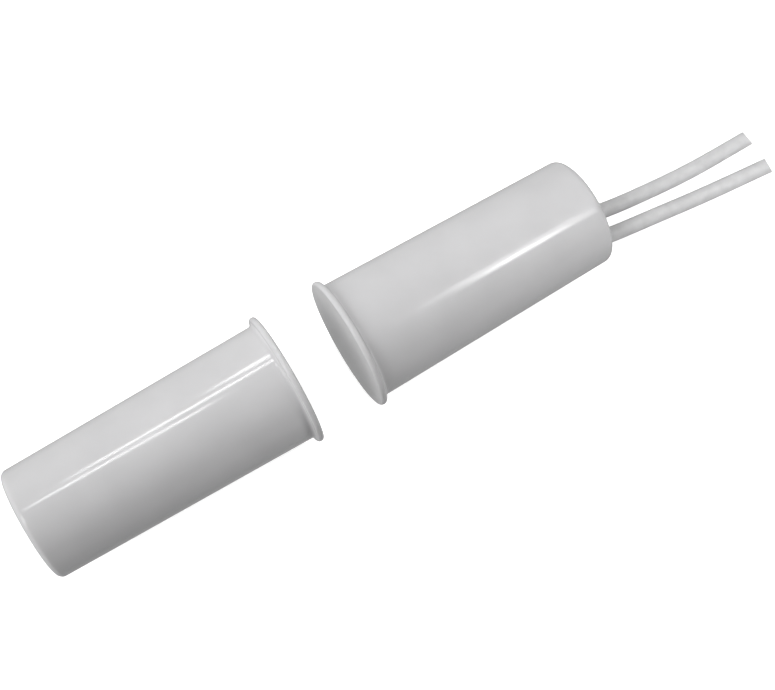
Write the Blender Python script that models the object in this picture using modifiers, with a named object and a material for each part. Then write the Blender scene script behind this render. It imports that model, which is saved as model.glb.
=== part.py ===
"""Recessed magnetic contact: a reed switch half and its magnet half on one axis.

Each half is a moulded cup with a closed, flanged face, filled from behind with cast resin.
World +X is the common axis, from the magnet half towards the switch half and its leads. The
origin lies on that axis in the plane where the switch half's flange seats on the frame.
"""
import math

import bmesh
import bpy
from mathutils import Matrix, Vector

# The moulded cup. Stations are measured along a half's own axis from its flat front face.
HALF_LENGTH = 0.0430
BARREL_FRONT_RADIUS = 0.00955
BARREL_REAR_RADIUS = 0.0088
WALL_FRONT = 0.0024
WALL_REAR = 0.0014
FACE_WALL = 0.0016
CAVITY_CORNER = 0.0006
MOUTH_CHAMFER = 0.0003
REAR_LIP_ROUND = 0.0010
FLANGE_OVERHANG = 0.00105
FLANGE_THICKNESS = 0.0010
FLANGE_FRONT_ROUND = 0.0004
FLANGE_BACK_ROUND = 0.0003
ROOT_FILLET = 0.00035

# The closed gap between the two front faces, as fitted.
AIR_GAP = 0.0100

# Clearances: between pieces that touch, and between the reed switch's own small pieces.
TOUCH_GAP = 0.0003
FINE_GAP = 0.0001

# The cast resin.
RESIN_RECESS = 0.0008
MENISCUS_RISE = 0.0004
MENISCUS_WIDTH = 0.0009

# The bar magnet.
MAGNET_RADIUS = 0.003175
MAGNET_LENGTH = 0.0254
MAGNET_CHAMFER = 0.0003

# The reed switch. Its folded lead crosses the axis in front of the glass.
FOLD_STANDOFF = 0.0020
FOLD_RADIUS = 0.0010
GLASS_STANDOFF = 0.0024
GLASS_RADIUS = 0.00115
GLASS_LENGTH = 0.0140
GLASS_WALL = 0.0003
GLASS_NECK_RADIUS = 0.0007
GLASS_NECK_LENGTH = 0.0010
GLASS_TIP_LENGTH = 0.0003
GLASS_SHOULDER = 0.0009
REED_LEAD_RADIUS = 0.0003
BLADE_HALF_WIDTH = 0.0006
BLADE_HALF_THICKNESS = 0.00011
BLADE_OVERLAP = 0.0011
CONTACT_GAP = 0.0001
FLAT_INSET = 0.0026
PRESS_LENGTH = 0.0010

# The soft sleeve round the glass.
SLEEVE_WALL = 0.0009
SLEEVE_OVERHANG = 0.0010

# The two soldered joints, their shrink sleeves and the leads.
JOINT_STANDOFF = 0.0050
JOINT_LENGTH = 0.0050
JOINT_RADIUS = 0.00085
LEAD_IN_JOINT = 0.00225
STRIP_LENGTH = 0.0020
SHRINK_WALL = 0.0003
SHRINK_NECK_LENGTH = 0.0010
SHRINK_FLARE_LENGTH = 0.0016
SHRINK_LEAD_IN = 0.0015
SHRINK_OVERLAP = 0.0030
CORE_RADIUS = 0.00032
LEAD_RADIUS = 0.00125
LEAD_PITCH = 0.0046
LEAD_STRAIGHT = 0.0020
LEAD_POINT_SPACING = 0.0045

# What follows from those sizes.
FLANGE_RADIUS = BARREL_FRONT_RADIUS + FLANGE_OVERHANG
CAVITY_FRONT_RADIUS = BARREL_FRONT_RADIUS - WALL_FRONT
CAVITY_REAR_RADIUS = BARREL_REAR_RADIUS - WALL_REAR
RESIN_FRONT = FACE_WALL + TOUCH_GAP
RESIN_REAR = HALF_LENGTH - RESIN_RECESS
FOLD_STATION = FACE_WALL + FOLD_STANDOFF
GLASS_FRONT = FOLD_STATION + FOLD_RADIUS + GLASS_STANDOFF
GLASS_REAR = GLASS_FRONT + GLASS_LENGTH
JOINT_FRONT = GLASS_REAR + JOINT_STANDOFF
JOINT_REAR = JOINT_FRONT + JOINT_LENGTH
REED_LEAD_END = JOINT_FRONT + LEAD_IN_JOINT
LEAD_START = JOINT_REAR + STRIP_LENGTH
SHRINK_FRONT = JOINT_FRONT - SHRINK_LEAD_IN
SHRINK_REAR = LEAD_START + SHRINK_OVERLAP

# Facets round each turned piece.
BODY_STEPS = 64
SMALL_STEPS = 24

TUBE_RESOLUTION = 2
WIRE_SIDES = 12
CORE_SIDES = 24
CORE_STRANDS = 6
CORE_LAY = 0.0060
WELD_DISTANCE = 0.00001


def clear_scene():
    """Remove whatever the scene opened with."""
    for obj in list(bpy.data.objects):
        bpy.data.objects.remove(obj, do_unlink=True)


def new_collection(name):
    collection = bpy.data.collections.new(name)
    bpy.context.scene.collection.children.link(collection)
    return collection


def new_material(name, colour, roughness, metallic=0.0):
    material = bpy.data.materials.new(name)
    material.use_nodes = True
    shader = material.node_tree.nodes["Principled BSDF"]
    shader.inputs["Base Color"].default_value = (*colour, 1.0)
    shader.inputs["Roughness"].default_value = roughness
    shader.inputs["Metallic"].default_value = metallic
    material.diffuse_color = (*colour, 1.0)
    return material


def place(obj, collection, half, material=None):
    """Put a piece in its collection, on its half's own frame, with its material."""
    collection.objects.link(obj)
    obj.parent = half
    if material is not None:
        obj.data.materials.append(material)
    return obj


def new_half(name, front_face_x, turn):
    """Frame of one half: local Z runs from its front face to its rear end."""
    half = bpy.data.objects.new(name, None)
    half.location = (front_face_x, 0.0, 0.0)
    half.rotation_euler = (0.0, turn, 0.0)
    PART.objects.link(half)
    return half


def arc(centre_r, centre_z, radius, start_deg, end_deg, segments):
    """Points of an arc in the profile plane, first and last included."""
    points = []
    for i in range(segments + 1):
        angle = math.radians(start_deg + (end_deg - start_deg) * i / segments)
        points.append((centre_r + radius * math.cos(angle), centre_z + radius * math.sin(angle)))
    return points


def turned(name, profile, steps, closed=False):
    """Turned piece: a profile in the XZ plane, run round Z by a Screw modifier."""
    bm = bmesh.new()
    verts = [bm.verts.new((r, 0.0, z)) for r, z in profile]
    for a, b in zip(verts, verts[1:]):
        bm.edges.new((a, b))
    if closed:
        bm.edges.new((verts[-1], verts[0]))
    mesh = bpy.data.meshes.new(name)
    bm.to_mesh(mesh)
    bm.free()
    obj = bpy.data.objects.new(name, mesh)
    screw = obj.modifiers.new("turn", "SCREW")
    screw.axis = "Z"
    screw.angle = 2.0 * math.pi
    screw.steps = steps
    screw.render_steps = steps
    screw.use_merge_vertices = True
    screw.merge_threshold = WELD_DISTANCE
    screw.use_smooth_shade = True
    return obj


def lofted(name, stations):
    """Solid through a row of closed rings with the same number of points."""
    bm = bmesh.new()
    rings = [[bm.verts.new(point) for point in ring] for ring in stations]
    count = len(rings[0])
    for near, far in zip(rings, rings[1:]):
        for i in range(count):
            j = (i + 1) % count
            bm.faces.new((near[i], near[j], far[j], far[i]))
    bm.faces.new(list(reversed(rings[0])))
    bm.faces.new(rings[-1])
    bmesh.ops.recalc_face_normals(bm, faces=bm.faces[:])
    mesh = bpy.data.meshes.new(name)
    bm.to_mesh(mesh)
    bm.free()
    mesh.shade_smooth()
    mesh.set_sharp_from_angle(angle=math.radians(40.0))
    return bpy.data.objects.new(name, mesh)


def smooth_route(points, spacing):
    """Evenly spaced points along a smooth curve through the route's own points."""
    route = [Vector(point) for point in points]
    ends = [2.0 * route[0] - route[1], *route, 2.0 * route[-1] - route[-2]]
    fine = []
    for p0, p1, p2, p3 in zip(ends, ends[1:], ends[2:], ends[3:]):
        for i in range(40):
            s = i / 40.0
            pull_in = 0.5 * (p2 - p0)
            pull_out = 0.5 * (p3 - p1)
            a = 2.0 * s**3 - 3.0 * s**2 + 1.0
            b = s**3 - 2.0 * s**2 + s
            c = s**3 - s**2
            fine.append(a * p1 + b * pull_in + (1.0 - a) * p2 + c * pull_out)
    fine.append(route[-1])
    length = sum((b - a).length for a, b in zip(fine, fine[1:]))
    pieces = max(2, round(length / spacing))
    step = length / pieces
    result = [fine[0]]
    walked = 0.0
    for a, b in zip(fine, fine[1:]):
        run = (b - a).length
        while len(result) < pieces and walked + run >= step * len(result):
            result.append(a.lerp(b, (step * len(result) - walked) / run))
        walked += run
    result.append(fine[-1])
    return result


def tube(name, points, radius):
    """Round wire along a route: a POLY spline with a bevel and filled caps."""
    data = bpy.data.curves.new(name, "CURVE")
    data.dimensions = "3D"
    data.bevel_depth = radius
    data.bevel_resolution = TUBE_RESOLUTION
    data.use_fill_caps = True
    spline = data.splines.new("POLY")
    spline.points.add(len(points) - 1)
    for target, point in zip(spline.points, points):
        target.co = (*point, 1.0)
    return bpy.data.objects.new(name, data)


def cylinder(name, radius, start, end, y=0.0, sides=SMALL_STEPS):
    """Round bar along the half's axis between two stations, moved sideways by y."""
    bm = bmesh.new()
    bmesh.ops.create_cone(
        bm, cap_ends=True, segments=sides, radius1=radius, radius2=radius, depth=end - start,
        matrix=Matrix.Translation((0.0, y, 0.5 * (start + end))),
    )
    mesh = bpy.data.meshes.new(name)
    bm.to_mesh(mesh)
    bm.free()
    return bpy.data.objects.new(name, mesh)


def cut(target, cutter):
    """Take a cutter out of a piece, and hide the cutter."""
    CUTTERS.objects.link(cutter)
    cutter.parent = target.parent
    cutter.display_type = "WIRE"
    cutter.hide_render = True
    boolean = target.modifiers.new(cutter.name, "BOOLEAN")
    boolean.operation = "DIFFERENCE"
    boolean.solver = "EXACT"
    boolean.object = cutter


# The moulded cup, the same in both halves.

def cavity_radius(station):
    """Inner radius of the cup, which opens slightly towards the rear for the core to leave it."""
    share = (station - FACE_WALL) / (HALF_LENGTH - FACE_WALL)
    return CAVITY_FRONT_RADIUS + (CAVITY_REAR_RADIUS - CAVITY_FRONT_RADIUS) * share


def housing_profile():
    """From the middle of the cavity's floor, out over the rear lip, to the middle of the face."""
    floor_corner = arc(
        cavity_radius(FACE_WALL) - CAVITY_CORNER, FACE_WALL + CAVITY_CORNER,
        CAVITY_CORNER, -90.0, 0.0, 3,
    )
    mouth = [
        (CAVITY_REAR_RADIUS, HALF_LENGTH - MOUTH_CHAMFER),
        (CAVITY_REAR_RADIUS + MOUTH_CHAMFER, HALF_LENGTH),
    ]
    lip_round = min(REAR_LIP_ROUND, WALL_REAR - MOUTH_CHAMFER)
    lip = arc(
        BARREL_REAR_RADIUS - lip_round, HALF_LENGTH - lip_round,
        lip_round, 90.0, 0.0, 6,
    )
    root = arc(
        BARREL_FRONT_RADIUS + ROOT_FILLET, FLANGE_THICKNESS + ROOT_FILLET,
        ROOT_FILLET, 180.0, 270.0, 4,
    )
    rim_back = arc(
        FLANGE_RADIUS - FLANGE_BACK_ROUND, FLANGE_THICKNESS - FLANGE_BACK_ROUND,
        FLANGE_BACK_ROUND, 90.0, 0.0, 3,
    )
    rim_front = arc(
        FLANGE_RADIUS - FLANGE_FRONT_ROUND, FLANGE_FRONT_ROUND,
        FLANGE_FRONT_ROUND, 0.0, -90.0, 4,
    )
    return [(0.0, FACE_WALL), *floor_corner, *mouth, *lip, *root, *rim_back, *rim_front, (0.0, 0.0)]


def resin_outside():
    """Resin from the middle of its rear face, out over the meniscus, to its front edge."""
    wall = cavity_radius(RESIN_REAR) - TOUCH_GAP
    points = [(0.0, RESIN_REAR - MENISCUS_RISE)]
    for i in range(5):
        share = i / 4.0
        points.append((
            wall - MENISCUS_WIDTH * (1.0 - share),
            RESIN_REAR - MENISCUS_RISE * (1.0 - share**2),
        ))
    corner = RESIN_FRONT + CAVITY_CORNER
    points.append((cavity_radius(corner) - TOUCH_GAP, corner))
    points.append((cavity_radius(RESIN_FRONT) - TOUCH_GAP - CAVITY_CORNER, RESIN_FRONT))
    return points


clear_scene()
PART = new_collection("magnetic_contact")
CUTTERS = new_collection("cutters")

WHITE_PLASTIC = new_material("white_plastic", (0.74, 0.74, 0.75), 0.22)
RESIN = new_material("cast_resin", (0.55, 0.54, 0.50), 0.35)
LEAD_WHITE = new_material("lead_insulation", (0.66, 0.66, 0.67), 0.45)
SLEEVE_SOFT = new_material("soft_sleeve", (0.62, 0.60, 0.56), 0.60)
SHRINK_BLACK = new_material("shrink_sleeve", (0.02, 0.02, 0.02), 0.50)
GLASS = new_material("glass", (0.60, 0.72, 0.64), 0.05)
REED_METAL = new_material("reed_metal", (0.55, 0.54, 0.52), 0.30, 1.0)
SOLDER = new_material("solder", (0.62, 0.62, 0.64), 0.35, 1.0)
COPPER = new_material("copper", (0.72, 0.36, 0.20), 0.35, 1.0)
MAGNET_METAL = new_material("magnet_metal", (0.34, 0.34, 0.35), 0.45, 1.0)

SWITCH = new_half("switch_half", -FLANGE_THICKNESS, math.radians(90.0))
MAGNET = new_half("magnet_half", -FLANGE_THICKNESS - AIR_GAP, math.radians(-90.0))

for label, half_frame in (("switch_housing", SWITCH), ("magnet_housing", MAGNET)):
    place(turned(label, housing_profile(), BODY_STEPS), PART, half_frame, WHITE_PLASTIC)

# The magnet half: a round bar magnet against the inside of the face, fixed by resin.

magnet_rear = RESIN_FRONT + MAGNET_LENGTH
magnet = turned(
    "magnet_rod",
    [
        (0.0, magnet_rear),
        (MAGNET_RADIUS - MAGNET_CHAMFER, magnet_rear),
        (MAGNET_RADIUS, magnet_rear - MAGNET_CHAMFER),
        (MAGNET_RADIUS, RESIN_FRONT + MAGNET_CHAMFER),
        (MAGNET_RADIUS - MAGNET_CHAMFER, RESIN_FRONT),
        (0.0, RESIN_FRONT),
    ],
    32,
)
place(magnet, PART, MAGNET, MAGNET_METAL)

seat_radius = MAGNET_RADIUS + TOUCH_GAP
magnet_resin = turned(
    "magnet_potting",
    [
        *resin_outside(),
        (seat_radius, RESIN_FRONT),
        (seat_radius, magnet_rear + TOUCH_GAP),
        (0.0, magnet_rear + TOUCH_GAP),
    ],
    BODY_STEPS,
)
place(magnet_resin, PART, MAGNET, RESIN)

# The glass capsule: a tube that necks down on the leads at both ends.

neck_bore = REED_LEAD_RADIUS + FINE_GAP
glass_bore = GLASS_RADIUS - GLASS_WALL


def glass_end(outward, end_station, radius, neck_radius, straight, segments):
    """One end of a glass wall, from the neck's tip to the full radius."""
    points = [(neck_radius, end_station)]
    for i in range(segments + 1):
        share = i / segments
        swing = 0.5 - 0.5 * math.cos(math.pi * share)
        points.append((
            neck_radius + (radius - neck_radius) * swing,
            end_station - outward * (straight + GLASS_SHOULDER * share),
        ))
    return points


outer_rear = glass_end(1.0, GLASS_REAR, GLASS_RADIUS, GLASS_NECK_RADIUS, GLASS_TIP_LENGTH, 5)
outer_front = glass_end(-1.0, GLASS_FRONT, GLASS_RADIUS, GLASS_NECK_RADIUS, GLASS_TIP_LENGTH, 5)
inner_front = glass_end(-1.0, GLASS_FRONT, glass_bore, neck_bore, GLASS_NECK_LENGTH, 4)
inner_rear = glass_end(1.0, GLASS_REAR, glass_bore, neck_bore, GLASS_NECK_LENGTH, 4)
glass_profile = [*outer_rear, *reversed(outer_front), *inner_front, *reversed(inner_rear)]
place(turned("reed_glass", glass_profile, SMALL_STEPS, closed=True), PART, SWITCH, GLASS)

# The two reeds: round leads, pressed flat inside the glass where they overlap as contacts.

contact_middle = 0.5 * (GLASS_FRONT + GLASS_REAR)


def wire_ring(centre, along, half_width, half_thickness, squareness):
    """Cross-section of a reed at one station: round where squareness is 1, flat where it is less."""
    across = Vector((1.0, 0.0, 0.0)).cross(along).normalized()
    ring = []
    for i in range(WIRE_SIDES):
        angle = 2.0 * math.pi * (i + 0.5) / WIRE_SIDES
        c, s = math.cos(angle), math.sin(angle)
        wide = half_width * math.copysign(abs(c) ** squareness, c)
        thick = half_thickness * math.copysign(abs(s) ** squareness, s)
        ring.append(centre + across * wide + Vector((thick, 0.0, 0.0)))
    return ring


def reed_stations(from_station, towards, tip_station, side):
    """Rings from the round lead inside one neck to the tip of the flat contact blade."""
    along = Vector((0.0, 0.0, towards))
    blade_shift = side * (BLADE_HALF_THICKNESS + 0.5 * CONTACT_GAP)
    rings = []
    for i in range(5):
        share = i / 4.0
        blend = share * share * (3.0 - 2.0 * share)
        width = REED_LEAD_RADIUS + (BLADE_HALF_WIDTH - REED_LEAD_RADIUS) * blend
        thickness = REED_LEAD_RADIUS + (BLADE_HALF_THICKNESS - REED_LEAD_RADIUS) * blend
        centre = Vector((blade_shift * blend, 0.0, from_station + towards * PRESS_LENGTH * share))
        rings.append(wire_ring(centre, along, width, thickness, 1.0 - 0.6 * blend))
    tip = Vector((blade_shift, 0.0, tip_station))
    rings.append(wire_ring(tip, along, BLADE_HALF_WIDTH, BLADE_HALF_THICKNESS, 0.4))
    return rings


def round_ring(centre, along):
    return wire_ring(Vector(centre), Vector(along), REED_LEAD_RADIUS, REED_LEAD_RADIUS, 1.0)


fold_rings = [round_ring((0.0, -LEAD_PITCH, REED_LEAD_END), (0.0, 0.0, -1.0))]
for corner_y, start_deg in ((-LEAD_PITCH + FOLD_RADIUS, 180.0), (-FOLD_RADIUS, 270.0)):
    for i in range(6):
        angle = math.radians(start_deg + 90.0 * i / 5.0)
        centre = (
            0.0,
            corner_y + FOLD_RADIUS * math.cos(angle),
            FOLD_STATION + FOLD_RADIUS + FOLD_RADIUS * math.sin(angle),
        )
        fold_rings.append(round_ring(centre, (0.0, -math.sin(angle), math.cos(angle))))
front_blade_tip = contact_middle + 0.5 * BLADE_OVERLAP
fold_rings += reed_stations(GLASS_FRONT + FLAT_INSET - PRESS_LENGTH, 1.0, front_blade_tip, 1.0)
place(lofted("reed_front_blade", fold_rings), PART, SWITCH, REED_METAL)

rear_rings = [round_ring((0.0, 0.0, REED_LEAD_END), (0.0, 0.0, -1.0))]
rear_blade_tip = contact_middle - 0.5 * BLADE_OVERLAP
rear_rings += reed_stations(GLASS_REAR - FLAT_INSET + PRESS_LENGTH, -1.0, rear_blade_tip, -1.0)
place(lofted("reed_rear_blade", rear_rings), PART, SWITCH, REED_METAL)

# The soft sleeve that keeps the resin off the glass.

sleeve_front = GLASS_FRONT - SLEEVE_OVERHANG
sleeve_rear = GLASS_REAR + SLEEVE_OVERHANG
sleeve_bore = GLASS_RADIUS + TOUCH_GAP
sleeve_radius = sleeve_bore + SLEEVE_WALL
sleeve_profile = [
    (sleeve_bore, sleeve_rear),
    (sleeve_radius, sleeve_rear),
    (sleeve_radius, sleeve_front),
    (sleeve_bore, sleeve_front),
]
sleeve = turned("reed_sleeve", sleeve_profile, SMALL_STEPS, closed=True)
place(sleeve, PART, SWITCH, SLEEVE_SOFT)

# The joints: solder round the two wire ends, a shrink sleeve over each, and the stripped cores.

joint_bore = max(REED_LEAD_RADIUS, CORE_RADIUS) + FINE_GAP
shrink_bore = LEAD_RADIUS + TOUCH_GAP
shrink_radius = shrink_bore + SHRINK_WALL
shrink_neck_bore = REED_LEAD_RADIUS + FINE_GAP


def joint_profile():
    """Solder drawn up round both wires, fattest in the middle, with a through bore."""
    points = [(joint_bore, JOINT_REAR)]
    for i in range(9):
        share = (i + 0.5) / 9.0
        bulge = math.sin(math.pi * share) ** 0.7
        points.append((
            joint_bore + FINE_GAP + (JOINT_RADIUS - joint_bore - FINE_GAP) * bulge,
            JOINT_REAR - JOINT_LENGTH * share,
        ))
    points.append((joint_bore, JOINT_FRONT))
    return points


def shrink_profile():
    """Shrink sleeve: full bore over the insulation, drawn down on the reed's lead in front."""
    neck_end = SHRINK_FRONT + SHRINK_NECK_LENGTH
    flare_end = neck_end + SHRINK_FLARE_LENGTH
    return [
        (shrink_bore, SHRINK_REAR),
        (shrink_radius, SHRINK_REAR),
        (shrink_radius, flare_end),
        (shrink_neck_bore + SHRINK_WALL, neck_end),
        (shrink_neck_bore + SHRINK_WALL, SHRINK_FRONT),
        (shrink_neck_bore, SHRINK_FRONT),
        (shrink_neck_bore, neck_end),
        (shrink_bore, flare_end),
    ]


def core_rings(y, start, end):
    """Stranded conductor: a lobed outline, twisted with the lay of the strands."""
    rings = []
    stations = 9
    lobe_radius = CORE_RADIUS / 3.0
    for i in range(stations):
        z = start + (end - start) * i / (stations - 1)
        turn = 2.0 * math.pi * (z - start) / CORE_LAY
        ring = []
        for k in range(CORE_SIDES):
            angle = 2.0 * math.pi * k / CORE_SIDES
            radius = CORE_RADIUS - 0.5 * lobe_radius * (0.5 - 0.5 * math.cos(CORE_STRANDS * angle))
            ring.append((radius * math.cos(angle + turn), y + radius * math.sin(angle + turn), z))
        rings.append(ring)
    return rings


JOINTS = (("axis", 0.0), ("side", -LEAD_PITCH))
core_start = REED_LEAD_END + TOUCH_GAP
core_end = LEAD_START - TOUCH_GAP
for label, offset in JOINTS:
    joint = turned("solder_joint_" + label, joint_profile(), SMALL_STEPS, closed=True)
    joint.location.y = offset
    place(joint, PART, SWITCH, SOLDER)
    shrink = turned("shrink_sleeve_" + label, shrink_profile(), SMALL_STEPS, closed=True)
    shrink.location.y = offset
    place(shrink, PART, SWITCH, SHRINK_BLACK)
    place(lofted("core_" + label, core_rings(offset, core_start, core_end)), PART, SWITCH, COPPER)

# The two leads: straight through the resin, then free, and cut square at about the same length.
# Each free point is (up, sideways from the lead's own line, distance behind the housing's rear end).

LEAD_ROUTES = {
    "axis": (
        (0.0001, -0.0018, 0.0027),
        (0.0003, -0.0028, 0.0105),
        (0.0004, -0.0034, 0.0190),
        (0.0003, -0.0034, 0.0304),
    ),
    "side": (
        (-0.0001, -0.0012, 0.0016),
        (-0.0002, -0.0021, 0.0090),
        (-0.0003, -0.0032, 0.0185),
        (-0.0002, -0.0044, 0.0306),
    ),
}


def lead_points(label, start, spacing):
    """Evenly spaced points of one lead from a station inside the resin to its cut end."""
    line = dict(JOINTS)[label]
    route = [(0.0, line, start), (0.0, line, SHRINK_REAR + LEAD_STRAIGHT)]
    for up, sideways, behind in LEAD_ROUTES[label]:
        route.append((-up, line + sideways, HALF_LENGTH + behind))
    return smooth_route(route, spacing)


for label in LEAD_ROUTES:
    lead = tube("lead_" + label, lead_points(label, LEAD_START, LEAD_POINT_SPACING), LEAD_RADIUS)
    place(lead, PART, SWITCH, LEAD_WHITE)

# The switch half's resin, cast round the reed switch, its folded lead, the joints and the leads.

switch_resin = turned("switch_potting", [*resin_outside(), (0.0, RESIN_FRONT)], BODY_STEPS)
place(switch_resin, PART, SWITCH, RESIN)

lead_bed = REED_LEAD_RADIUS + TOUCH_GAP
sleeve_bed = sleeve_radius + TOUCH_GAP
shrink_bed = shrink_radius + TOUCH_GAP
insulation_bed = LEAD_RADIUS + TOUCH_GAP

round_beds = [
    ("bed_sleeve", sleeve_bed, sleeve_front - TOUCH_GAP, sleeve_rear + TOUCH_GAP, 0.0),
    ("bed_rear_lead", lead_bed, sleeve_rear, SHRINK_FRONT, 0.0),
    ("bed_folded_lead", lead_bed, FOLD_STATION, SHRINK_FRONT, -LEAD_PITCH),
]
for label, offset in JOINTS:
    front = SHRINK_FRONT - TOUCH_GAP
    round_beds.append(("bed_shrink_" + label, shrink_bed, front, SHRINK_REAR + TOUCH_GAP, offset))
for bed_name, bed_radius, bed_front, bed_rear, offset in round_beds:
    cut(switch_resin, cylinder(bed_name, bed_radius, bed_front, bed_rear, offset))

slot_front = RESIN_FRONT - TOUCH_GAP
slot_rear = sleeve_front
slot_size = Vector((2.0 * lead_bed, LEAD_PITCH + 2.0 * lead_bed, slot_rear - slot_front))
slot_middle = Vector((0.0, -0.5 * LEAD_PITCH, 0.5 * (slot_front + slot_rear)))
slot = bmesh.new()
bmesh.ops.create_cube(slot, size=1.0)
bmesh.ops.scale(slot, vec=slot_size, verts=slot.verts)
bmesh.ops.translate(slot, vec=slot_middle, verts=slot.verts)
slot_mesh = bpy.data.meshes.new("bed_fold")
slot.to_mesh(slot_mesh)
slot.free()
cut(switch_resin, bpy.data.objects.new("bed_fold", slot_mesh))

for label in LEAD_ROUTES:
    route = lead_points(label, LEAD_START - TOUCH_GAP, LEAD_POINT_SPACING)
    guide = tube("guide_" + label, route, insulation_bed)
    CUTTERS.objects.link(guide)
    bpy.context.view_layer.update()
    evaluated = guide.evaluated_get(bpy.context.evaluated_depsgraph_get())
    bed_mesh = bpy.data.meshes.new_from_object(evaluated)
    welder = bmesh.new()
    welder.from_mesh(bed_mesh)
    bmesh.ops.remove_doubles(welder, verts=welder.verts, dist=WELD_DISTANCE)
    welder.to_mesh(bed_mesh)
    welder.free()
    bpy.data.objects.remove(guide, do_unlink=True)
    cut(switch_resin, bpy.data.objects.new("bed_lead_" + label, bed_mesh))
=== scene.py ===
import math

import bmesh
import bpy
from mathutils import Matrix, Vector


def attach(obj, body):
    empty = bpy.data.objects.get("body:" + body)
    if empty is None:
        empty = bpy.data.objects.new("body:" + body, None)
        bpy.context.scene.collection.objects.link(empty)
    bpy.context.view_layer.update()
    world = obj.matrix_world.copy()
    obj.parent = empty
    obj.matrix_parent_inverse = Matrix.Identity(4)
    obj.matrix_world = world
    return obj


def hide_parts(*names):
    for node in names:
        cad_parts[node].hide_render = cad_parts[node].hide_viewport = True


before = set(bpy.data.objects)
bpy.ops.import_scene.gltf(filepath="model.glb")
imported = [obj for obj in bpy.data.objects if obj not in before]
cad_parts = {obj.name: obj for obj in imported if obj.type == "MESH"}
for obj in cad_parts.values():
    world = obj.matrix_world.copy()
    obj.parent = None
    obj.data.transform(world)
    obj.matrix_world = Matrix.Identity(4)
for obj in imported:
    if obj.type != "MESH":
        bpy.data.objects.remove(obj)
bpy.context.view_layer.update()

# The two moulded cups. Each is one shot of glossy white plastic: a thin flange round a closed flat
# face, and a barrel that tapers towards its open rear end, so that it presses into a drilled hole.
# Both come from the same mould, and here they face each other on one axis, across the air gap.
cup_length = 0.0430
flange_radius = 0.0106
flange_thickness = 0.0010
barrel_front_radius = 0.00955
barrel_rear_radius = 0.0088
face_wall = 0.0016
cavity_front_radius = 0.00715
cavity_rear_radius = 0.0074
flange_front_round = 0.0004
flange_back_round = 0.00045
root_fillet = 0.00058
rear_lip_round = 0.0010
mouth_chamfer = 0.0003
cavity_corner = 0.0006
cup_steps = 224
air_gap = 0.0100

# A half's own axis is Z, from its front face to its rear end. These set each half on the part's
# axis: the plane in which the switch half's flange meets the frame is at the origin.
switch_seat = (
    Matrix.Translation((-flange_thickness, 0.0, 0.0))
    @ Matrix.Rotation(math.radians(90.0), 4, "Y")
)
magnet_seat = (
    Matrix.Translation((-flange_thickness - air_gap, 0.0, 0.0))
    @ Matrix.Rotation(math.radians(-90.0), 4, "Y")
)


def turned(outline, steps, closed=False):
    """Turned shape: an outline of (radius, station) points, spun once round the half's axis."""
    shape = bmesh.new()
    corners = [shape.verts.new((radius, 0.0, station)) for radius, station in outline]
    lines = [shape.edges.new(pair) for pair in zip(corners, corners[1:])]
    if closed:
        lines.append(shape.edges.new((corners[-1], corners[0])))
    bmesh.ops.spin(
        shape, geom=corners + lines, cent=(0.0, 0.0, 0.0), axis=(0.0, 0.0, 1.0),
        dvec=(0.0, 0.0, 0.0), angle=2.0 * math.pi, steps=steps, use_merge=True,
        use_duplicate=False,
    )
    bmesh.ops.remove_doubles(shape, verts=shape.verts[:], dist=1e-7)
    bmesh.ops.recalc_face_normals(shape, faces=shape.faces[:])
    return shape


def round_over(shape, radius, station, size, segments):
    """Round, or with one segment chamfer, the turned edge at this radius and station."""
    near = 2e-6
    ring = [
        edge for edge in shape.edges
        if all(
            abs(v.co.xy.length - radius) < near and abs(v.co.z - station) < near
            for v in edge.verts
        )
    ]
    bmesh.ops.bevel(
        shape, geom=ring, offset=size, offset_type="OFFSET", segments=segments, profile=0.5,
        affect="EDGES", material=-1, clamp_overlap=False,
    )


def set_down(name, shape, seat, material, crease=32.0):
    """Put a finished shape in its place in the part, smooth up to its creases, in its material."""
    bmesh.ops.transform(shape, matrix=seat, verts=shape.verts[:])
    mesh = bpy.data.meshes.new(name)
    shape.to_mesh(mesh)
    shape.free()
    mesh.shade_smooth()
    mesh.set_sharp_from_angle(angle=math.radians(crease))
    mesh.materials.append(material)
    piece = bpy.data.objects.new(name, mesh)
    bpy.context.scene.collection.objects.link(piece)
    return piece


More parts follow.
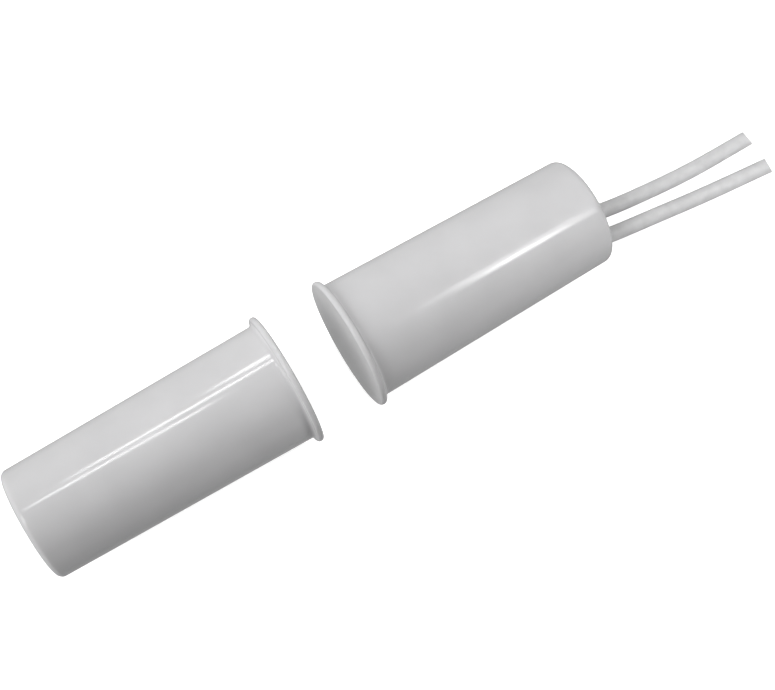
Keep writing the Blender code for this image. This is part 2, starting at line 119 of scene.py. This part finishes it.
def finish(name, deep, pale, patch, gloss, grain, relief, along=1.0, metal=0.0):
    """Finish whose colour drifts from deep to pale and whose gloss drifts with it, over patches of
    this size, with a grain of this size in relief. Along stretches the grain down the axis."""
    material = bpy.data.materials.new(name)
    material.use_nodes = True
    nodes, links = material.node_tree.nodes, material.node_tree.links
    shader = nodes["Principled BSDF"]
    shader.inputs["Metallic"].default_value = metal
    place = nodes.new("ShaderNodeTexCoord")
    drift = nodes.new("ShaderNodeTexNoise")
    drift.inputs["Scale"].default_value = 1.0 / patch
    drift.inputs["Detail"].default_value = 3.0
    drift.inputs["Roughness"].default_value = 0.45
    links.new(place.outputs["Object"], drift.inputs["Vector"])
    tint = nodes.new("ShaderNodeValToRGB")
    tint.color_ramp.elements[0].position = 0.32
    tint.color_ramp.elements[0].color = (*deep, 1.0)
    tint.color_ramp.elements[1].position = 0.68
    tint.color_ramp.elements[1].color = (*pale, 1.0)
    links.new(drift.outputs["Fac"], tint.inputs["Fac"])
    links.new(tint.outputs["Color"], shader.inputs["Base Color"])
    sheen = nodes.new("ShaderNodeMapRange")
    sheen.inputs["From Min"].default_value = 0.25
    sheen.inputs["From Max"].default_value = 0.75
    sheen.inputs["To Min"].default_value = gloss[0]
    sheen.inputs["To Max"].default_value = gloss[1]
    links.new(drift.outputs["Fac"], sheen.inputs["Value"])
    links.new(sheen.outputs["Result"], shader.inputs["Roughness"])
    stretch = nodes.new("ShaderNodeMapping")
    stretch.inputs["Scale"].default_value = (1.0 / along, 1.0, 1.0)
    links.new(place.outputs["Object"], stretch.inputs["Vector"])
    pebble = nodes.new("ShaderNodeTexNoise")
    pebble.inputs["Scale"].default_value = 1.0 / grain
    pebble.inputs["Detail"].default_value = 2.0
    links.new(stretch.outputs["Vector"], pebble.inputs["Vector"])
    raised = nodes.new("ShaderNodeBump")
    raised.inputs["Strength"].default_value = 1.0
    raised.inputs["Distance"].default_value = relief
    links.new(pebble.outputs["Fac"], raised.inputs["Height"])
    links.new(raised.outputs["Normal"], shader.inputs["Normal"])
    return material


white_plastic = finish(
    "moulded_white_plastic", (0.523, 0.521, 0.527), (0.546, 0.544, 0.550),
    patch=0.006, gloss=(0.11, 0.16), grain=0.0011, relief=0.0000018, along=2.5,
)


def moulded_cup():
    """Closed face, flange, tapered barrel, lip and cavity, with corners as the mould has them. A
    ring of points just past each big rounding keeps the face and the barrel beyond it straight."""
    face_ring = 0.0007
    root_ring, root_draft = 0.0009, 0.00002
    lip_ring, lip_draft = 0.0016, 0.00003
    cup = turned([
        (0.0, 0.0),
        (flange_radius - face_ring, 0.0),
        (flange_radius, 0.0),
        (flange_radius, flange_thickness),
        (barrel_front_radius, flange_thickness),
        (barrel_front_radius - root_draft, flange_thickness + root_ring),
        (barrel_rear_radius + lip_draft, cup_length - lip_ring),
        (barrel_rear_radius, cup_length),
        (cavity_rear_radius, cup_length),
        (cavity_front_radius, face_wall),
        (0.0, face_wall),
    ], steps=cup_steps)
    for radius, station, size, segments in (
        (flange_radius, 0.0, flange_front_round, 8),
        (flange_radius, flange_thickness, flange_back_round, 8),
        (barrel_front_radius, flange_thickness, root_fillet, 10),
        (barrel_rear_radius, cup_length, rear_lip_round, 12),
        (cavity_rear_radius, cup_length, mouth_chamfer, 1),
        (cavity_front_radius, face_wall, cavity_corner, 4),
    ):
        round_over(cup, radius, station, size, segments)
    return cup


for cup_name, cup_node, seat in (
    ("switch_cup", "switch_housing", switch_seat),
    ("magnet_cup", "magnet_housing", magnet_seat),
):
    cup = set_down(cup_name, moulded_cup(), seat, white_plastic)
    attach(cup, "root")
    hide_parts(cup_node)

# The bar magnet: a rod cast of magnet alloy and ground round, dark grey and slightly pitted, with
# broken edges. It stands on the axis against the inside of the magnet cup's face.
magnet_radius = 0.003175
magnet_front = 0.0019
magnet_rear = 0.0273
magnet_edge = 0.0003
magnet_alloy = finish(
    "ground_magnet_alloy", (0.15, 0.15, 0.155), (0.27, 0.27, 0.275),
    patch=0.0016, gloss=(0.34, 0.55), grain=0.00035, relief=0.000012, along=0.5, metal=1.0,
)
bar = turned([
    (0.0, magnet_front), (magnet_radius, magnet_front),
    (magnet_radius, magnet_rear), (0.0, magnet_rear),
], steps=96)
for station in (magnet_front, magnet_rear):
    round_over(bar, magnet_radius, station, magnet_edge, segments=3)
magnet_bar = set_down("magnet_bar", bar, magnet_seat, magnet_alloy)
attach(magnet_bar, "root")
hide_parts("magnet_rod")

# The resin in the magnet cup: poured from behind round the bar, it sets with a dished surface and
# climbs a little up the wall. It is a cloudy cast resin, ivory grey, with a few fine pits.
resin_front = 0.0019
resin_level = 0.0418
resin_corner = 0.0007
climb = 0.0004
climb_width = 0.0009
resin_slip = 0.00002
touch_gap = 0.0003
cast_resin = finish(
    "cast_resin", (0.47, 0.46, 0.42), (0.58, 0.57, 0.53),
    patch=0.0024, gloss=(0.20, 0.36), grain=0.0004, relief=0.000010,
)


def cavity_radius(station):
    """Inner radius of a cup at a station: it opens slightly towards the rear."""
    share = (station - face_wall) / (cup_length - face_wall)
    return cavity_front_radius + (cavity_rear_radius - cavity_front_radius) * share


def poured_outline():
    """Resin from the middle of its level, out and up the wall, down to its front edge."""
    edge = cavity_radius(resin_level + climb) - resin_slip
    level_rings, climb_rings = 22, 8
    outline = [((edge - climb_width) * i / level_rings, resin_level) for i in range(level_rings)]
    for i in range(climb_rings + 1):
        share = i / climb_rings
        outline.append((edge - climb_width * (1.0 - share), resin_level + climb * share ** 2))
    corner_station = resin_front + resin_corner
    outline.append((cavity_radius(corner_station) - resin_slip, corner_station))
    outline.append((cavity_radius(resin_front) - resin_corner, resin_front))
    return outline


bar_bed = magnet_radius + touch_gap
plug = turned([
    *poured_outline(),
    (bar_bed, resin_front),
    (bar_bed, magnet_rear + touch_gap),
    (0.0, magnet_rear + touch_gap),
], steps=160)
magnet_resin = set_down("magnet_resin", plug, magnet_seat, cast_resin)
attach(magnet_resin, "root")
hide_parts("magnet_potting")

# The reed switch's capsule: a drawn glass tube, greenish, melted down at both ends round the two
# leads, so that each end has a shoulder and a short neck.
glass_front = 0.0070
glass_rear = 0.0210
glass_radius = 0.00115
glass_wall = 0.0003
neck_radius = 0.0007
neck_bore = 0.0004
neck_outside = 0.0003
neck_inside = 0.0010
shoulder = 0.0009
green_glass = finish(
    "drawn_glass", (0.62, 0.80, 0.68), (0.72, 0.88, 0.77),
    patch=0.0030, gloss=(0.02, 0.06), grain=0.0009, relief=0.000004, along=3.0,
)
clarity = green_glass.node_tree.nodes["Principled BSDF"]
clarity.inputs["Transmission Weight"].default_value = 1.0
clarity.inputs["IOR"].default_value = 1.48


def capsule_end(tip, inward, full, narrow, straight):
    """One end of a glass wall, from the neck's tip to the full radius."""
    wall = [(narrow, tip)]
    steps = 12
    for i in range(steps + 1):
        share = i / steps
        swing = 0.5 - 0.5 * math.cos(math.pi * share)
        station = tip + inward * (straight + shoulder * share)
        wall.append((narrow + (full - narrow) * swing, station))
    return wall


glass_bore = glass_radius - glass_wall
capsule = turned([
    *capsule_end(glass_rear, -1.0, glass_radius, neck_radius, neck_outside),
    *reversed(capsule_end(glass_front, 1.0, glass_radius, neck_radius, neck_outside)),
    *capsule_end(glass_front, 1.0, glass_bore, neck_bore, neck_inside),
    *reversed(capsule_end(glass_rear, -1.0, glass_bore, neck_bore, neck_inside)),
], steps=64, closed=True)
glass_capsule = set_down("glass_capsule", capsule, switch_seat, green_glass, crease=50.0)
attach(glass_capsule, "root")
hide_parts("reed_glass")

# The two reeds: nickel-iron wire, pressed flat inside the glass where their tips overlap, tinned
# outside it. The front one is folded back beside the glass. Both keep their shape from the frame.
reed_wire = finish(
    "tinned_reed_wire", (0.50, 0.49, 0.46), (0.66, 0.65, 0.62),
    patch=0.0007, gloss=(0.22, 0.36), grain=0.00012, relief=0.0000015, along=6.0, metal=1.0,
)
for reed_node in ("reed_front_blade", "reed_rear_blade"):
    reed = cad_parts[reed_node]
    for material_slot in reed.material_slots:
        material_slot.material = reed_wire

# The buffer sleeve: a soft silicone tube pushed over the glass, which keeps the hard resin from
# cracking it. Milky and matt, cut square, its ends slightly rounded.
sleeve_front = 0.0060
sleeve_rear = 0.0220
sleeve_bore = 0.00145
sleeve_radius = 0.00235
sleeve_edge = 0.00012
soft_silicone = finish(
    "milky_silicone", (0.56, 0.545, 0.50), (0.66, 0.645, 0.60),
    patch=0.0013, gloss=(0.50, 0.66), grain=0.00022, relief=0.000006, along=3.0,
)
tube = turned([
    (sleeve_bore, sleeve_rear), (sleeve_radius, sleeve_rear),
    (sleeve_radius, sleeve_front), (sleeve_bore, sleeve_front),
], steps=72, closed=True)
for station in (sleeve_rear, sleeve_front):
    round_over(tube, sleeve_radius, station, sleeve_edge, segments=3)
buffer_sleeve = set_down("buffer_sleeve", tube, switch_seat, soft_silicone)
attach(buffer_sleeve, "root")
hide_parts("reed_sleeve")

# The soldered joints, one on the axis and one beside it: solder drawn up round a reed's wire and
# the stripped end of a lead, fattest in the middle, with a frosted tin surface.
lead_pitch = 0.0046
joint_sides = (("axis", 0.0), ("side", -lead_pitch))
joint_front = 0.0260
joint_rear = 0.0310
joint_bore = 0.00042
joint_tip = joint_bore + 0.0001
joint_radius = 0.00085
joint_rings = 19
frosted_solder = finish(
    "frosted_solder", (0.55, 0.55, 0.56), (0.74, 0.74, 0.75),
    patch=0.0008, gloss=(0.28, 0.50), grain=0.00020, relief=0.000008, metal=1.0,
)
for side, offset in joint_sides:
    drop = [(joint_bore, joint_rear)]
    for i in range(joint_rings):
        share = (i + 0.5) / joint_rings
        swell = math.sin(math.pi * share) ** 0.7
        drop.append((
            joint_tip + (joint_radius - joint_tip) * swell,
            joint_rear - (joint_rear - joint_front) * share,
        ))
    drop.append((joint_bore, joint_front))
    beside = switch_seat @ Matrix.Translation((0.0, offset, 0.0))
    joint = set_down(
        "joint_" + side, turned(drop, steps=48, closed=True), beside, frosted_solder, crease=60.0,
    )
    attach(joint, "root")
    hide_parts("solder_joint_" + side)

# The stripped ends of the leads: six bare copper strands laid in a long twist round a seventh.
strip_front = 0.02855
strip_rear = 0.0327
core_radius = 0.00032
strand_lay = 0.0060
bare_copper = finish(
    "bare_copper", (0.62, 0.29, 0.17), (0.80, 0.42, 0.27),
    patch=0.0008, gloss=(0.24, 0.40), grain=0.00010, relief=0.000001, along=6.0, metal=1.0,
)


def strands(start, end, steps):
    """Seven strands between two stations, each drawn along the axis as the twist turns."""
    strand_slack = 0.000002
    strand_radius = core_radius / 3.0 - strand_slack
    bundle = bmesh.new()
    for i in range(7):
        out = 0.0 if i == 6 else 2.0 * core_radius / 3.0
        angle = math.radians(60.0 * i)
        place = Matrix.Translation((out * math.cos(angle), out * math.sin(angle), start))
        disc = bmesh.ops.create_circle(
            bundle, cap_ends=True, segments=14, radius=strand_radius, matrix=place,
        )["verts"]
        edges = list({edge for v in disc for edge in v.link_edges})
        faces = list({face for v in disc for face in v.link_faces})
        bmesh.ops.spin(
            bundle, geom=disc + edges + faces, cent=(0.0, 0.0, 0.0), axis=(0.0, 0.0, 1.0),
            dvec=(0.0, 0.0, (end - start) / steps),
            angle=2.0 * math.pi * (end - start) / strand_lay, steps=steps,
            use_merge=False, use_duplicate=False,
        )
    bmesh.ops.recalc_face_normals(bundle, faces=bundle.faces[:])
    return bundle


for side, offset in joint_sides:
    beside = switch_seat @ Matrix.Translation((0.0, offset, 0.0))
    stripped = set_down(
        "stripped_end_" + side, strands(strip_front, strip_rear, steps=24), beside, bare_copper,
        crease=50.0,
    )
    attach(stripped, "root")
    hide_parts("core_" + side)

# The shrink sleeves: black tubing shrunk over each joint, full over the insulation behind and drawn
# down on the thin wire in front, with the soft shoulders that shrinking leaves.
shrink_front = 0.0245
shrink_rear = 0.0360
shrink_bore = 0.00155
shrink_wall = 0.0003
shrink_neck_bore = 0.0004
shrink_neck = 0.0010
shrink_shoulder = 0.0016
shrink_rings = 12
black_shrink = finish(
    "black_shrink_tubing", (0.014, 0.014, 0.015), (0.030, 0.030, 0.031),
    patch=0.0012, gloss=(0.38, 0.56), grain=0.00018, relief=0.000005, along=2.0,
)
for side, offset in joint_sides:
    wall = []
    for i in range(shrink_rings + 1):
        share = i / shrink_rings
        eased = share * share * (3.0 - 2.0 * share)
        wall.append((
            shrink_neck_bore + (shrink_bore - shrink_neck_bore) * eased,
            shrink_front + shrink_neck + shrink_shoulder * share,
        ))
    jacket = [(shrink_bore, shrink_rear), (shrink_bore + shrink_wall, shrink_rear)]
    jacket += [(radius + shrink_wall, station) for radius, station in reversed(wall)]
    jacket += [(shrink_neck_bore + shrink_wall, shrink_front), (shrink_neck_bore, shrink_front)]
    jacket += wall
    beside = switch_seat @ Matrix.Translation((0.0, offset, 0.0))
    shrunk = set_down(
        "shrunk_tube_" + side, turned(jacket, steps=56, closed=True), beside, black_shrink,
    )
    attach(shrunk, "root")
    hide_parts("shrink_sleeve_" + side)

# The two leads: pale insulated wire, straight out of the resin and then slightly apart. Cutters
# have snipped both at a slant about 30 mm behind the cup, and the cut shows the copper strands,
# which end just inside the insulation.
lead_radius = 0.00125
lead_bore = 0.00036
lead_sides = 40
lead_points = 31
cut_edge = 0.00009
cut_middle_ring = 0.45
cut_depth = 0.0012
strand_rest = 0.00008
strand_short = 0.0001
lead_runs = {
    "axis": (
        (0.0320, 0.0000, 0.0000), (0.0370, 0.0000, 0.0000), (0.0447, -0.0018, 0.0001),
        (0.0525, -0.0028, 0.0003), (0.0610, -0.0034, 0.0004), (0.0717, -0.0034, 0.0003),
    ),
    "side": (
        (0.0320, -0.0046, 0.0000), (0.0370, -0.0046, 0.0000), (0.0436, -0.0058, -0.0001),
        (0.0510, -0.0067, -0.0002), (0.0605, -0.0078, -0.0003), (0.0719, -0.0089, -0.0002),
    ),
}
lead_exits = {"axis": (0.0410, -0.0009, 0.0000), "side": (0.0410, -0.0053, -0.0001)}
cut_slants = {"axis": (-0.02, -0.54), "side": (0.04, -0.49)}
pale_insulation = finish(
    "pale_insulation", (0.520, 0.520, 0.525), (0.575, 0.575, 0.580),
    patch=0.0015, gloss=(0.38, 0.50), grain=0.00035, relief=0.000004, along=5.0,
)
translucency = pale_insulation.node_tree.nodes["Principled BSDF"]
translucency.inputs["Subsurface Weight"].default_value = 0.8
translucency.inputs["Subsurface Radius"].default_value = (1.0, 1.0, 1.0)
translucency.inputs["Subsurface Scale"].default_value = 0.0012


def smooth_run(points, count):
    """This many evenly spaced points on one smooth curve through the points of a run."""
    run = [Vector(point) for point in points]
    ends = [2.0 * run[0] - run[1], *run, 2.0 * run[-1] - run[-2]]
    parts = 60
    fine = []
    for before, near, far, after in zip(ends, ends[1:], ends[2:], ends[3:]):
        leave, arrive = 0.5 * (far - before), 0.5 * (after - near)
        for i in range(parts):
            s = i / parts
            a = 2.0 * s ** 3 - 3.0 * s ** 2 + 1.0
            fine.append(
                a * near + (s ** 3 - 2.0 * s ** 2 + s) * leave
                + (1.0 - a) * far + (s ** 3 - s ** 2) * arrive
            )
    fine.append(run[-1])
    step = sum((b - a).length for a, b in zip(fine, fine[1:])) / (count - 1)
    even, walked = [fine[0]], 0.0
    for a, b in zip(fine, fine[1:]):
        length = (b - a).length
        while len(even) < count - 1 and walked + length >= step * len(even):
            even.append(a.lerp(b, (step * len(even) - walked) / length))
        walked += length
    even.append(fine[-1])
    return even


def headings(run):
    """Direction of a run at each of its points."""
    last = len(run) - 1
    return [(run[min(i + 1, last)] - run[max(i - 1, 0)]).normalized() for i in range(last + 1)]


def grown(shape, ring, move):
    """Extrude a ring of edges, and move the new ring."""
    made = bmesh.ops.extrude_edge_only(shape, edges=ring)["geom"]
    points = [g for g in made if isinstance(g, bmesh.types.BMVert)]
    bmesh.ops.transform(shape, matrix=move, verts=points)
    fresh = set(points)
    return [g for g in made if isinstance(g, bmesh.types.BMEdge) and set(g.verts) <= fresh]


def drawn(run, radius, sides):
    """Tube drawn along a run, open at both ends: one ring, extruded from point to point. Gives
    back the tube and the rings at its ends."""
    shape = bmesh.new()
    ways = headings(run)
    first = bmesh.ops.create_circle(shape, cap_ends=False, segments=sides, radius=radius)["verts"]
    start = Matrix.Translation(run[0]) @ ways[0].to_track_quat("Z", "Y").to_matrix().to_4x4()
    bmesh.ops.transform(shape, matrix=start, verts=first)
    first_ring = shape.edges[:]
    ring = first_ring
    for i in range(1, len(run)):
        turn = ways[i - 1].rotation_difference(ways[i]).to_matrix().to_4x4()
        move = Matrix.Translation(run[i]) @ turn @ Matrix.Translation(-run[i - 1])
        ring = grown(shape, ring, move)
    return shape, first_ring, ring


for side, points in lead_runs.items():
    run = smooth_run(points, lead_points)
    way = headings(run)[-1]
    lead, front_ring, cut_ring = drawn(run, lead_radius, lead_sides)
    bmesh.ops.edgeloop_fill(lead, edges=front_ring)
    end_seat = Matrix.Translation(run[-1]) @ way.to_track_quat("Z", "Y").to_matrix().to_4x4()
    slant = Matrix.Identity(4)
    slant[2][0], slant[2][1] = cut_slants[side]
    rim = cut_ring
    rim_points = list({v for edge in rim for v in edge.verts})
    bmesh.ops.transform(lead, matrix=end_seat @ slant @ end_seat.inverted(), verts=rim_points)
    to_end, from_end = Matrix.Translation(run[-1]), Matrix.Translation(-run[-1])
    for share in (cut_middle_ring, lead_bore / (cut_middle_ring * lead_radius)):
        cut_ring = grown(lead, cut_ring, to_end @ Matrix.Scale(share, 4) @ from_end)
    cut_ring = grown(lead, cut_ring, Matrix.Translation(-cut_depth * way))
    bmesh.ops.edgeloop_fill(lead, edges=cut_ring)
    bmesh.ops.bevel(
        lead, geom=rim, offset=cut_edge, offset_type="OFFSET", segments=3, profile=0.5,
        affect="EDGES", material=-1, clamp_overlap=False,
    )
    bmesh.ops.recalc_face_normals(lead, faces=lead.faces[:])
    insulation = set_down("insulation_" + side, lead, Matrix.Identity(4), pale_insulation)
    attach(insulation, "root")
    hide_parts("lead_" + side)
    cut_seat = Matrix.Translation(-(cut_depth - strand_rest) * way) @ end_seat @ slant
    cut_strands = set_down(
        "cut_strands_" + side, strands(0.0, cut_depth - strand_short, steps=8), cut_seat,
        bare_copper, crease=50.0,
    )
    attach(cut_strands, "root")

# The resin in the switch cup: the same cast resin, poured round the reed switch, its folded wire,
# the joints and the leads, and drawn a little way up the leads where they come out of it.
draw_up = 0.00030
draw_up_width = 0.0007
switch_plug = turned([*poured_outline(), (0.0, resin_front)], steps=168)
surface = [v for v in switch_plug.verts if v.co.z > resin_level - 1e-4]
for exit_point in lead_exits.values():
    middle = Vector((-exit_point[2], exit_point[1]))
    for v in surface:
        away = (v.co.xy - middle).length - lead_radius
        if away < draw_up_width:
            v.co.z += draw_up * (1.0 - max(away, 0.0) / draw_up_width) ** 2
bmesh.ops.triangulate(switch_plug, faces=switch_plug.faces[:])
switch_resin = set_down("switch_resin", switch_plug, switch_seat, cast_resin)


def bed_for(name, shape, seat):
    """Space that the resin leaves round one of the pieces in it."""
    bmesh.ops.transform(shape, matrix=seat, verts=shape.verts[:])
    bmesh.ops.recalc_face_normals(shape, faces=shape.faces[:])
    mesh = bpy.data.meshes.new(name)
    shape.to_mesh(mesh)
    shape.free()
    bed = bpy.data.objects.new(name, mesh)
    bpy.context.scene.collection.objects.link(bed)
    space = switch_resin.modifiers.new(name, "BOOLEAN")
    space.operation = "DIFFERENCE"
    space.solver = "MANIFOLD"
    space.object = bed
    return bed


def round_bed(radius, front, rear):
    """Closed round space between two stations."""
    return turned([(0.0, front), (radius, front), (radius, rear), (0.0, rear)], steps=48)


wire_bed = 0.0006
fold_width = 2.1 * wire_bed
fold_depth = 0.0047
fold_middle = resin_front + 0.00205
folded_front = 0.0036
sleeve_space = round_bed(
    sleeve_radius + touch_gap, sleeve_front - touch_gap, sleeve_rear + touch_gap,
)
beds = [
    bed_for("sleeve_bed", sleeve_space, switch_seat),
    bed_for("wire_bed", round_bed(wire_bed, sleeve_rear, shrink_front), switch_seat),
]
fold = bmesh.new()
bmesh.ops.create_cube(fold, size=1.0)
bmesh.ops.scale(fold, vec=(fold_width, lead_pitch + fold_width, fold_depth), verts=fold.verts[:])
bmesh.ops.translate(fold, vec=(0.0, -0.5 * lead_pitch, fold_middle), verts=fold.verts[:])
beds.append(bed_for("fold_bed", fold, switch_seat))
beside = switch_seat @ Matrix.Translation((0.0, -lead_pitch, 0.0))
beds.append(bed_for("folded_wire_bed", round_bed(wire_bed, folded_front, shrink_front), beside))
for side, offset in joint_sides:
    beside = switch_seat @ Matrix.Translation((0.0, offset, 0.0))
    shrink_space = round_bed(
        shrink_bore + shrink_wall + touch_gap, shrink_front - touch_gap, shrink_rear + touch_gap,
    )
    beds.append(bed_for("shrink_bed_" + side, shrink_space, beside))
    run = smooth_run(lead_runs[side], lead_points)
    lead_space, near_ring, far_ring = drawn(run, lead_radius + resin_slip, lead_sides)
    bmesh.ops.edgeloop_fill(lead_space, edges=near_ring)
    bmesh.ops.edgeloop_fill(lead_space, edges=far_ring)
    beds.append(bed_for("lead_bed_" + side, lead_space, Matrix.Identity(4)))
bpy.context.view_layer.update()
cut_out = switch_resin.evaluated_get(bpy.context.evaluated_depsgraph_get())
poured = bpy.data.meshes.new_from_object(cut_out)
poured.name = "switch_resin"
joined_up = bmesh.new()
joined_up.from_mesh(poured)
bmesh.ops.remove_doubles(joined_up, verts=joined_up.verts[:], dist=1e-6)
joined_up.to_mesh(poured)
joined_up.free()
switch_resin.modifiers.clear()
switch_resin.data = poured
poured.set_sharp_from_angle(angle=math.radians(32.0))
for bed in beds:
    bpy.data.objects.remove(bed, do_unlink=True)
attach(switch_resin, "root")
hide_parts("switch_potting")

# The table top that the pair lies on, for the picture only: pale, smooth and wide, touching the
# lowest points of the two flanges.
table_paper = finish(
    "pale_table", (0.86, 0.86, 0.86), (0.88, 0.88, 0.88),
    patch=0.08, gloss=(0.70, 0.80), grain=0.004, relief=0.00001,
)
table_light = table_paper.node_tree.nodes["Principled BSDF"]
table_light.inputs["Emission Color"].default_value = (1.0, 1.0, 1.0, 1.0)
table_light.inputs["Emission Strength"].default_value = 0.68
top = bmesh.new()
bmesh.ops.create_grid(top, x_segments=8, y_segments=8, size=2.5)
table_seat = Matrix.Translation((0.0, 0.0, -flange_radius))
table_top = set_down("table_top", top, table_seat, table_paper)
table_top.visible_diffuse = False
table_top.visible_glossy = False
table_top.visible_shadow = False

# The studio: soft panels round the pair, the strongest beyond the magnet's end, small lamps by the
# leads and the gap, and a glow from below the table. Narrow strips, seen only as reflections, draw
# the bright line along each barrel. The surroundings are pale and even.


def soft_light(name, start, end, breadth, aim, power):
    """Soft light of this many watts, from a strip of this breadth between two points, turned
    towards the point that it lights."""
    lamp = bpy.data.lights.new(name, "AREA")
    lamp.shape = "RECTANGLE"
    lamp.size, lamp.size_y = (Vector(end) - Vector(start)).length, breadth
    lamp.energy = power
    body = bpy.data.objects.new(name, lamp)
    body.visible_camera = False
    middle = 0.5 * (Vector(start) + Vector(end))
    across = (Vector(end) - Vector(start)).normalized()
    away = middle - Vector(aim)
    away = (away - across * away.dot(across)).normalized()
    facing = Matrix((across, away.cross(across), away)).transposed().to_4x4()
    body.matrix_world = Matrix.Translation(middle) @ facing
    bpy.context.scene.collection.objects.link(body)
    return body


on_pair = (0.0, 0.0, 0.0)
for name, start, end, breadth, aim, power in (
    ("far_panel", (-0.30, 0.60, 0.06), (0.50, 0.60, 0.06), 0.15, on_pair, 0.83),
    ("top_panel", (-0.35, 0.20, 0.56), (0.55, 0.20, 0.56), 0.40, on_pair, 1.16),
    ("magnet_end_panel", (-0.52, -0.20, 0.30), (-0.52, 0.30, 0.30), 0.50, on_pair, 3.78),
    ("lead_end_lamp", (0.110, -0.100, 0.040), (0.170, -0.100, 0.040), 0.06, on_pair, 0.108),
    ("lead_top_lamp", (0.050, -0.050, 0.160), (0.130, -0.050, 0.160), 0.08, on_pair, 0.131),
    ("gap_lamp", (-0.040, 0.090, 0.090), (0.010, 0.090, 0.090), 0.05, (-0.020, 0.0, 0.0), 0.047),
):
    panel = soft_light(name, start, end, breadth, aim, power)
    panel.visible_glossy = False
soft_light("table_glow", (-0.80, 0.0, -0.03), (0.80, 0.0, -0.03), 1.60, on_pair, 2.75)

barrel_top = 0.009
for name, start, end, breadth, aim_x, power in (
    ("magnet_line_upper", (-0.078, 0.118, 0.284), (0.006, 0.122, 0.283), 0.018, -0.030, 0.074),
    ("magnet_line_lower", (-0.096, 0.072, 0.297), (-0.026, 0.058, 0.303), 0.018, -0.040, 0.058),
    ("magnet_line_flange", (-0.013, 0.181, 0.249), (0.008, 0.166, 0.260), 0.030, -0.018, 0.034),
    ("switch_line", (0.1135, -0.149, 0.256), (0.140, -0.145, 0.251), 0.030, 0.028, 0.035),
    ("switch_line_soft", (0.100, -0.141, 0.262), (0.158, -0.130, 0.256), 0.080, 0.028, 0.067),
    ("switch_line_fading", (0.088, -0.127, 0.270), (0.102, -0.140, 0.263), 0.030, 0.014, 0.004),
    ("lead_end_line", (0.260, 0.0, 0.360), (0.620, 0.0, 0.260), 0.090, 0.014, 0.400),
    ("magnet_end_line", (-0.190, 0.0, 0.360), (-0.600, 0.0, 0.260), 0.090, -0.030, 0.400),
):
    strip = soft_light(name, start, end, breadth, (aim_x, 0.0, barrel_top), power)
    strip.visible_diffuse = False

# Light from the room itself: faint on the pair, a little brighter in its reflections, and pale
# where the camera looks past the table's edge.
surroundings = bpy.data.worlds.new("pale_room")
surroundings.use_nodes = True
room, joined = surroundings.node_tree.nodes, surroundings.node_tree.links
faint = room["Background"]
faint.inputs["Color"].default_value = (1.0, 1.0, 1.0, 1.0)
beyond = room.new("ShaderNodeBackground")
beyond.inputs["Color"].default_value = (1.0, 1.0, 1.0, 1.0)
beyond.inputs["Strength"].default_value = 0.75
seen = room.new("ShaderNodeLightPath")
mirrored = room.new("ShaderNodeMapRange")
mirrored.inputs["To Min"].default_value = 0.05
mirrored.inputs["To Max"].default_value = 0.12
joined.new(seen.outputs["Is Glossy Ray"], mirrored.inputs["Value"])
joined.new(mirrored.outputs["Result"], faint.inputs["Strength"])
either = room.new("ShaderNodeMixShader")
joined.new(seen.outputs["Is Camera Ray"], either.inputs["Fac"])
joined.new(faint.outputs["Background"], either.inputs[1])
joined.new(beyond.outputs["Background"], either.inputs[2])
joined.new(either.outputs["Shader"], room["World Output"].inputs["Surface"])
bpy.context.scene.world = surroundings
bpy.context.scene.view_settings.view_transform = "Standard"

# The camera: close above the pair, looking steeply down across it from the magnet's side, as in
# the photograph, with a lens that just takes in both ends.
camera = bpy.data.cameras.new("camera")
camera.sensor_width = 36.0
camera.lens = 60.3
camera.clip_start = 0.01
camera.clip_end = 20.0
viewpoint = bpy.data.objects.new("camera", camera)
to_right = (0.8532, -0.5216, 0.0)
to_top = (0.4917, 0.8042, 0.3338)
to_back = (-0.1741, -0.2848, 0.9426)
viewpoint.matrix_world = (
    Matrix.Translation((-0.02980, -0.05907, 0.18475))
    @ Matrix((to_right, to_top, to_back)).transposed().to_4x4()
)
bpy.context.scene.collection.objects.link(viewpoint)
bpy.context.scene.camera = viewpoint
